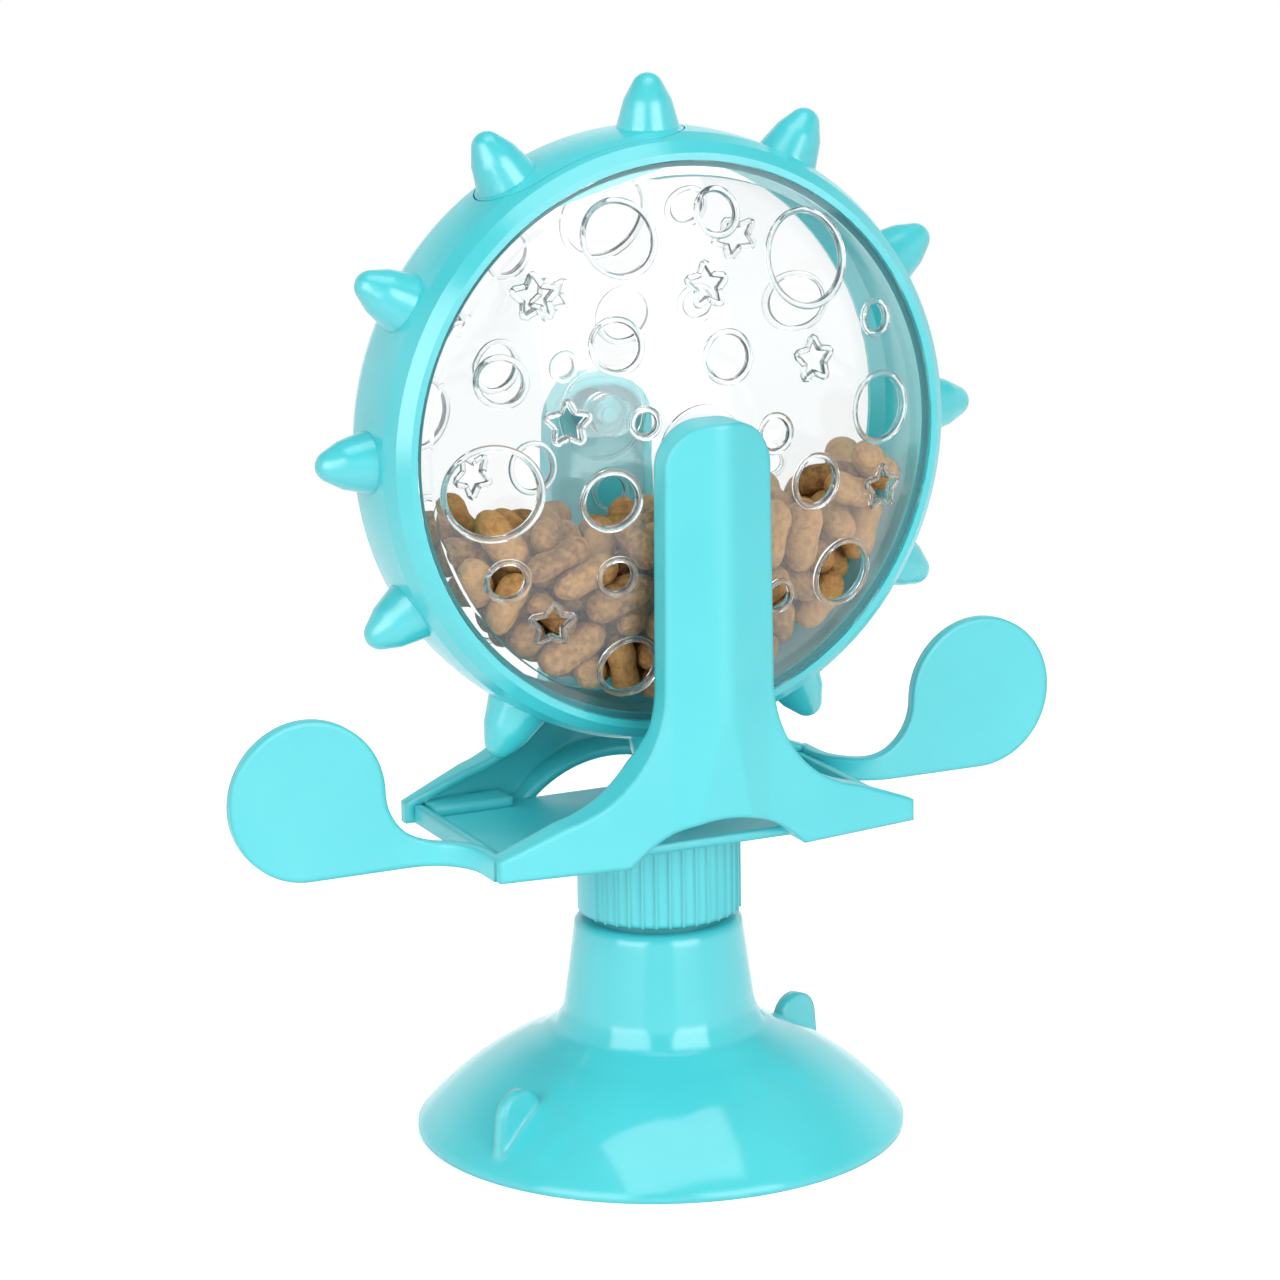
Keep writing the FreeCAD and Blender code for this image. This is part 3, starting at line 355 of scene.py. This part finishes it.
CUP_RUBBER = moulded_plastic(
    "cup_rubber", CUP_TURQUOISE, CUP_LIGHT, roughness=0.11, shine=0.7,
    grain_scale=30.0, grain_depth=0.3 * MM, edge=2.8 * MM)
FRAME_PLASTIC = moulded_plastic(
    "frame_plastic", TURQUOISE, TURQUOISE_LIGHT, roughness=0.38, shine=0.9,
    grain_scale=900.0, grain_depth=0.1 * MM, edge=1.8 * MM)
RIM_PLASTIC = moulded_plastic(
    "rim_plastic", TURQUOISE, TURQUOISE_LIGHT, roughness=0.2, shine=0.9,
    grain_scale=700.0, grain_depth=0.1 * MM, edge=3.0 * MM, spikes_only=True)
CORE_PLASTIC = moulded_plastic(
    "core_plastic", CORE_DARK, CORE_LIGHT, roughness=0.4, shine=0.5,
    grain_scale=900.0, grain_depth=0.1 * MM, edge=0.4 * MM)
CLEAR_PLASTIC = clear_plastic("clear_plastic")
SCREW_STEEL = screw_steel("screw_steel")
KIBBLE = kibble("kibble")

FINISHES = {
    CUP_RUBBER: ["suction_cup"],
    FRAME_PLASTIC: ["lock_ring", "tray", "front_arm", "rear_arm"],
    RIM_PLASTIC: ["drum_rim", "filling_lid"],
    CORE_PLASTIC: ["neck_core", "ring_washer", "cup_plunger"],
    CLEAR_PLASTIC: ["front_window", "rear_window"],
    SCREW_STEEL: ["lift_pin", "swivel_washer", "swivel_screw", "arm_screws"],
}

for material, names in FINISHES.items():
    for name in names:
        NODES[name].data.materials.clear()
        NODES[name].data.materials.append(material)


# Pieces


def unit(vectors, guard=0.0):
    """Rows of vectors, each brought to length 1."""
    return vectors / (np.linalg.norm(vectors, axis=1)[:, None] + guard)


def add_piece(name, vertices, faces, material, body):
    """A smooth mesh object that rides on a body, with doubled points merged."""
    shape = bmesh.new()
    mesh = bpy.data.meshes.new(name)
    mesh.from_pydata(np.asarray(vertices).tolist(), [], np.asarray(faces).tolist())
    shape.from_mesh(mesh)
    bmesh.ops.remove_doubles(shape, verts=shape.verts, dist=PIECE_WELD)
    bmesh.ops.recalc_face_normals(shape, faces=shape.faces)
    shape.to_mesh(mesh)
    shape.free()
    mesh.shade_smooth()
    mesh.materials.append(material)
    piece = bpy.data.objects.new(name, mesh)
    bpy.context.scene.collection.objects.link(piece)
    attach(piece, body)
    return piece


# Treats


def keep_inside(spots, radius):
    """Holds the lobes between the drum's band and its two domes."""
    flat = np.hypot(spots[:, 0], spots[:, 2]) + GAP_GUARD
    limit = FILL_RADIUS - radius
    shrink = np.minimum(1.0, limit / flat)
    spots[:, 0] *= shrink
    spots[:, 2] *= shrink
    flat = np.minimum(flat, limit)
    depth = FILL_HALF_DEPTH - DOME_RADIUS + np.sqrt((DOME_RADIUS - radius) ** 2 - flat ** 2)
    spots[:, 1] = np.clip(spots[:, 1], -depth, depth)


def near_pairs(spots, radius, owner):
    """Lobes of different treats that touch or nearly touch."""
    apart = np.linalg.norm(spots[:, None] - spots[None], axis=2)
    close = apart < radius[:, None] + radius[None] + NEAR
    close &= owner[:, None] < owner[None]
    return np.nonzero(close)


def push_apart(spots, one, two, need):
    """Moves overlapping lobes off each other, less where a lobe meets many others."""
    gap = spots[one] - spots[two]
    far = np.linalg.norm(gap, axis=1) + GAP_GUARD
    over = np.maximum(need - far, 0.0)
    push = gap * (over / far * 0.5)[:, None]
    count = len(spots)
    hits = np.bincount(one, over > 0, count) + np.bincount(two, over > 0, count) + 1
    for way in range(3):
        moved = np.bincount(one, push[:, way], count) - np.bincount(two, push[:, way], count)
        spots[:, way] += moved / np.sqrt(hits)


def settle_treats(draw):
    """Lets two-lobed treats sink to the bottom of the drum and pushes them off each other.

    Returns each treat's middle, its axis, its lobes' radius and their spacing, about the axle.
    """
    count = TREAT_COUNT
    lobe = draw.uniform(*LOBE_RADIUS, count)
    spacing = draw.uniform(*LOBE_SPACING, count)
    tilt = math.radians(HEAP_TILT)
    down = np.array([math.sin(tilt), 0.0, -math.cos(tilt)])
    angle = draw.uniform(math.pi, 2 * math.pi, count)
    reach = FILL_RADIUS * START_REACH * np.sqrt(draw.uniform(0, 1, count))
    sideways = draw.uniform(-START_SIDEWAYS, START_SIDEWAYS, count) * FILL_HALF_DEPTH
    centre = np.stack([reach * np.cos(angle), sideways, reach * np.sin(angle)], 1)
    axis = unit(draw.normal(size=(count, 3)))
    radius = np.repeat(lobe, 2)
    owner = np.repeat(np.arange(count), 2)
    half = np.tile([-0.5, 0.5], count) * spacing[owner]
    for step in range(SINK_STEPS):
        centre += down * SINK_START * (1 - step / SINK_STEPS)
        spots = centre[owner] + axis[owner] * half[:, None]
        one, two = near_pairs(spots, radius, owner)
        need = radius[one] + radius[two]
        for _ in range(PUSH_ROUNDS):
            push_apart(spots, one, two, need)
            keep_inside(spots, radius)
            first, second = spots[0::2], spots[1::2]
            centre = (first + second) / 2
            axis = unit(second - first, AXIS_GUARD)
            spots = centre[owner] + axis[owner] * half[:, None]
    return centre, axis, lobe, spacing


def treat_shape(draw, lobe, spacing):
    """Ring-wise points of one two-lobed treat along X, a little lumpy and bent."""
    tall = spacing / 2 + lobe
    waist = draw.uniform(*WAIST)
    uneven = draw.uniform(-UNEVEN, UNEVEN)
    bend = draw.uniform(-BEND, BEND)
    flat = draw.uniform(*FLATNESS)
    phases = draw.uniform(0, 2 * math.pi, 4)
    along = np.sin(np.linspace(-math.pi / 2, math.pi / 2, TREAT_RINGS))[:, None]
    turn = np.linspace(0, 2 * math.pi, TREAT_SECTORS, endpoint=False)[None, :]
    round_end = (1 - np.abs(along) ** END_POWER) ** 0.5
    narrow = 1 - waist * np.exp(-((along / WAIST_REACH) ** 2))
    width = lobe * round_end * narrow * (1 + uneven * along)
    lump = 1 + LUMPS[0] * np.sin(2 * turn + phases[0] + 3 * along)
    lump = lump + LUMPS[1] * np.sin(3 * turn + phases[1])
    lump = lump + LUMPS[2] * np.sin(5 * along + phases[2]) * np.sin(turn + phases[3])
    x = along * tall + 0 * turn
    y = width * lump * np.cos(turn) + bend * tall * (along ** 2 - BEND_MIDDLE)
    z = width * lump * np.sin(turn) * flat
    return np.stack([x, y, z], 2).reshape(-1, 3)


def treat_faces():
    """Four-sided faces between a treat's rings of points."""
    faces = []
    for ring in range(TREAT_RINGS - 1):
        low, high = ring * TREAT_SECTORS, (ring + 1) * TREAT_SECTORS
        for sector in range(TREAT_SECTORS):
            after = (sector + 1) % TREAT_SECTORS
            faces.append((low + sector, low + after, high + after, high + sector))
    return np.array(faces)


def make_treats():
    """One piece with all the loose treats, in place of the plain heap."""
    draw = np.random.default_rng(TREAT_SEED)
    centres, axes, lobes, spacings = settle_treats(draw)
    pattern = treat_faces()
    vertices = []
    faces = []
    home = np.array([0.0, 0.0, AXLE_HEIGHT])
    for centre, axis, lobe, spacing in zip(centres, axes, lobes, spacings):
        shape = treat_shape(draw, lobe, spacing)
        roll = Quaternion(Vector((1, 0, 0)), draw.uniform(0, 2 * math.pi))
        turn = Vector(axis).to_track_quat("X", "Z") @ roll
        matrix = np.array(turn.to_matrix())
        faces.append(pattern + len(vertices) * len(shape))
        vertices.append(shape @ matrix.T + centre + home)
    points, corners = np.concatenate(vertices), np.concatenate(faces)
    treats = add_piece("treats", points, corners, KIBBLE, "yoke")
    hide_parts("treat_fill")


# Raised walls of the treat holes


def hole_edges(node, out):
    """Points on the outer edges of a window's holes, and the points each is joined to."""
    shape = bmesh.new()
    shape.from_mesh(NODES[node].data)
    bmesh.ops.remove_doubles(shape, verts=shape.verts, dist=WINDOW_WELD)
    joined = {}
    for edge in shape.edges:
        if len(edge.link_faces) != 2:
            continue
        tilts = sorted(face.normal.y * out for face in edge.link_faces)
        if tilts[1] > DOME_TILT and abs(tilts[0]) < HOLE_TILT:
            for vertex, other in (edge.verts, reversed(edge.verts)):
                joined.setdefault(vertex.index, []).append(other.index)
    places = {vertex.index: tuple(vertex.co) for vertex in shape.verts}
    shape.free()
    return places, joined


def hole_loops(node, out):
    """Outer edges of the holes through a window's dome, each as points in order."""
    places, joined = hole_edges(node, out)
    loops = []
    while joined:
        start = min(joined)
        loop = [start]
        before, here = None, start
        while True:
            onward = [other for other in joined.get(here, []) if other != before]
            if not onward:
                break
            before, here = here, onward[0]
            if here == start:
                break
            loop.append(here)
        for index in loop:
            joined.pop(index, None)
        points = np.array([places[index] for index in loop])
        middle = points.mean(0)
        off_axle = math.hypot(middle[0], middle[2] - AXLE_HEIGHT)
        if len(loop) >= SHORTEST_LOOP and off_axle > AXLE_CLEAR:
            loops.append(points)
    return loops


def smooth_ring(points):
    """A closed ring of points with one more point on the curve between each two."""
    before, after, beyond = (np.roll(points, shift, 0) for shift in (1, -1, -2))
    added = (-before + 9 * points + 9 * after - beyond) / 16
    return np.stack([points, added], 1).reshape(-1, 3)


def hole_wall(points, out):
    """A raised wall with rounded edges, standing just outside a hole's edge."""
    ring = smooth_ring(smooth_ring(points))
    along = unit(np.roll(ring, -1, 0) - np.roll(ring, 1, 0))
    ball = np.array([0.0, -out * (DOME_RADIUS - FILL_HALF_DEPTH), AXLE_HEIGHT])
    up = unit(ring - ball)
    side = np.cross(along, up)
    side *= np.sign((side * (ring - ring.mean(0))).sum())
    middle = ring + side * WALL_HALF_THICKNESS * WALL_OFFSET - up * WALL_SINK
    rows = []
    for turn in np.linspace(0, 2 * math.pi, WALL_SIDES, endpoint=False):
        across = WALL_HALF_THICKNESS * math.cos(turn) * side
        rows.append(middle + across + WALL_HALF_DEPTH * math.sin(turn) * up)
    return np.stack(rows, 1).reshape(-1, 3)


def make_hole_walls(node, name, out):
    """One piece with the walls of all the holes of a window that faces out along Y."""
    vertices = []
    faces = []
    start = 0
    for points in hole_loops(node, out):
        wall = hole_wall(points, out)
        rings = len(wall) // WALL_SIDES
        for ring in range(rings):
            after = (ring + 1) % rings
            for side in range(WALL_SIDES):
                beside = (side + 1) % WALL_SIDES
                corners = (ring, side), (after, side), (after, beside), (ring, beside)
                faces.append([start + row * WALL_SIDES + column for row, column in corners])
        vertices.append(wall)
        start += len(wall)
    add_piece(name, np.concatenate(vertices), faces, CLEAR_PLASTIC, "drum")


make_treats()
make_hole_walls("front_window", "front_hole_rims", -1)
make_hole_walls("rear_window", "rear_hole_rims", 1)


# Floor, world, lamps and camera


def seen_directly(tree):
    """1 where the camera looks straight, through clear plastic or by reflection, else 0."""
    path = tree.nodes.new("ShaderNodeLightPath")
    total = path.outputs["Is Camera Ray"]
    for name in ("Is Transmission Ray", "Is Glossy Ray"):
        both = add_in_turn(tree, "ShaderNodeMath", total, path.outputs[name], operation="ADD",
                           use_clamp=True)
        total = both.outputs["Value"]
    return total


def make_floor():
    """A pale floor that takes the object's shadow and fades to white further out."""
    bpy.ops.mesh.primitive_plane_add(size=FLOOR_SIZE)
    floor = bpy.context.object
    floor.name = "floor"
    material, tree = new_material("pale_floor")
    seen = seen_directly(tree)
    level = add_in_turn(tree, "ShaderNodeMath", seen, FLOOR_GLOW, operation="MULTIPLY")
    matte = add_node(tree, "ShaderNodeBsdfDiffuse", Color=FLOOR_GREY)
    glow = add_node(tree, "ShaderNodeEmission", Color=WHITE, Strength=level.outputs["Value"])
    near = add_in_turn(
        tree, "ShaderNodeAddShader", matte.outputs["BSDF"], glow.outputs["Emission"])
    far = add_node(tree, "ShaderNodeEmission", Color=WHITE, Strength=seen)
    place = output_of(tree, "ShaderNodeTexCoord", "Object")
    distance = add_in_turn(tree, "ShaderNodeVectorMath", place, operation="LENGTH")
    fade = ranged(tree, distance.outputs["Value"], FLOOR_FADE, (0.0, 1.0), "SMOOTHSTEP")
    shown = mix_shaders(tree, fade, near.outputs["Shader"], far.outputs["Emission"])
    add_node(tree, "ShaderNodeOutputMaterial", Surface=shown)
    floor.data.materials.append(material)


def make_world():
    """Even light, with a white background whose ceiling is dimmer in reflections."""
    world = bpy.data.worlds.new("studio")
    bpy.context.scene.world = world
    world.use_nodes = True
    tree = world.node_tree
    tree.nodes.clear()
    place = output_of(tree, "ShaderNodeTexCoord", "Generated")
    height = add_node(tree, "ShaderNodeSeparateXYZ", Vector=place)
    ceiling = ranged(tree, height.outputs["Z"], CEILING_RISE, (1.0, CEILING_LEVEL), "SMOOTHSTEP")
    glossy = output_of(tree, "ShaderNodeLightPath", "Is Glossy Ray")
    level = between(tree, "FLOAT", glossy, 1.0, ceiling)
    light = add_node(tree, "ShaderNodeBackground", Color=SKY_TINT, Strength=SKY_LEVEL)
    white = add_node(tree, "ShaderNodeBackground", Color=WHITE, Strength=level)
    shown = mix_shaders(tree, seen_directly(tree), light.outputs["Background"],
                        white.outputs["Background"])
    add_node(tree, "ShaderNodeOutputWorld", Surface=shown)


def direction(azimuth, elevation):
    """Unit vector from the object to a place round it, azimuth 0 in front of it."""
    turn = math.radians(azimuth)
    rise = math.radians(elevation)
    flat = math.cos(rise)
    return Vector((math.sin(turn) * flat, -math.cos(turn) * flat, math.sin(rise)))


def soft_box(name, azimuth, elevation, distance, width, height, watts):
    """A soft lamp round the object, its azimuth counted from where the camera stands."""
    back = direction(CAMERA_AZIMUTH + azimuth, elevation)
    data = bpy.data.lights.new(name, "AREA")
    data.shape = "RECTANGLE"
    data.size = width
    data.size_y = height
    data.energy = watts
    lamp = bpy.data.objects.new(name, data)
    lamp.location = CAMERA_TARGET + back * distance
    lamp.rotation_euler = back.to_track_quat("Z", "Y").to_euler()
    bpy.context.scene.collection.objects.link(lamp)
    return lamp


def make_lamps():
    soft_box("left_box", -37, 18, distance=1.3, width=1.0, height=1.1, watts=8.5)
    soft_box("right_box", 38, 18, distance=1.3, width=0.9, height=1.1, watts=8.5)
    soft_box("top_box", 20, 78, distance=1.4, width=1.1, height=0.8, watts=4.4)
    back_box = soft_box("back_box", 165, 50, distance=1.5, width=1.4, height=0.9, watts=8.0)
    back_box.visible_glossy = False


def make_camera():
    back = direction(CAMERA_AZIMUTH, CAMERA_ELEVATION)
    data = bpy.data.cameras.new("photo_camera")
    data.sensor_width = SENSOR_WIDTH
    data.lens = SENSOR_WIDTH * FOCAL_PIXELS / PHOTO_SIZE
    data.shift_x = -CENTRE_SHIFT_PIXELS[0] / PHOTO_SIZE
    data.shift_y = CENTRE_SHIFT_PIXELS[1] / PHOTO_SIZE
    camera = bpy.data.objects.new("photo_camera", data)
    camera.location = CAMERA_TARGET + back * CAMERA_DISTANCE
    roll = Quaternion((0, 0, 1), math.radians(CAMERA_ROLL))
    camera.rotation_euler = (back.to_track_quat("Z", "Y") @ roll).to_euler()
    bpy.context.scene.collection.objects.link(camera)
    bpy.context.scene.camera = camera


make_floor()
make_world()
make_lamps()
make_camera()
bpy.context.scene.view_settings.view_transform = "Standard"
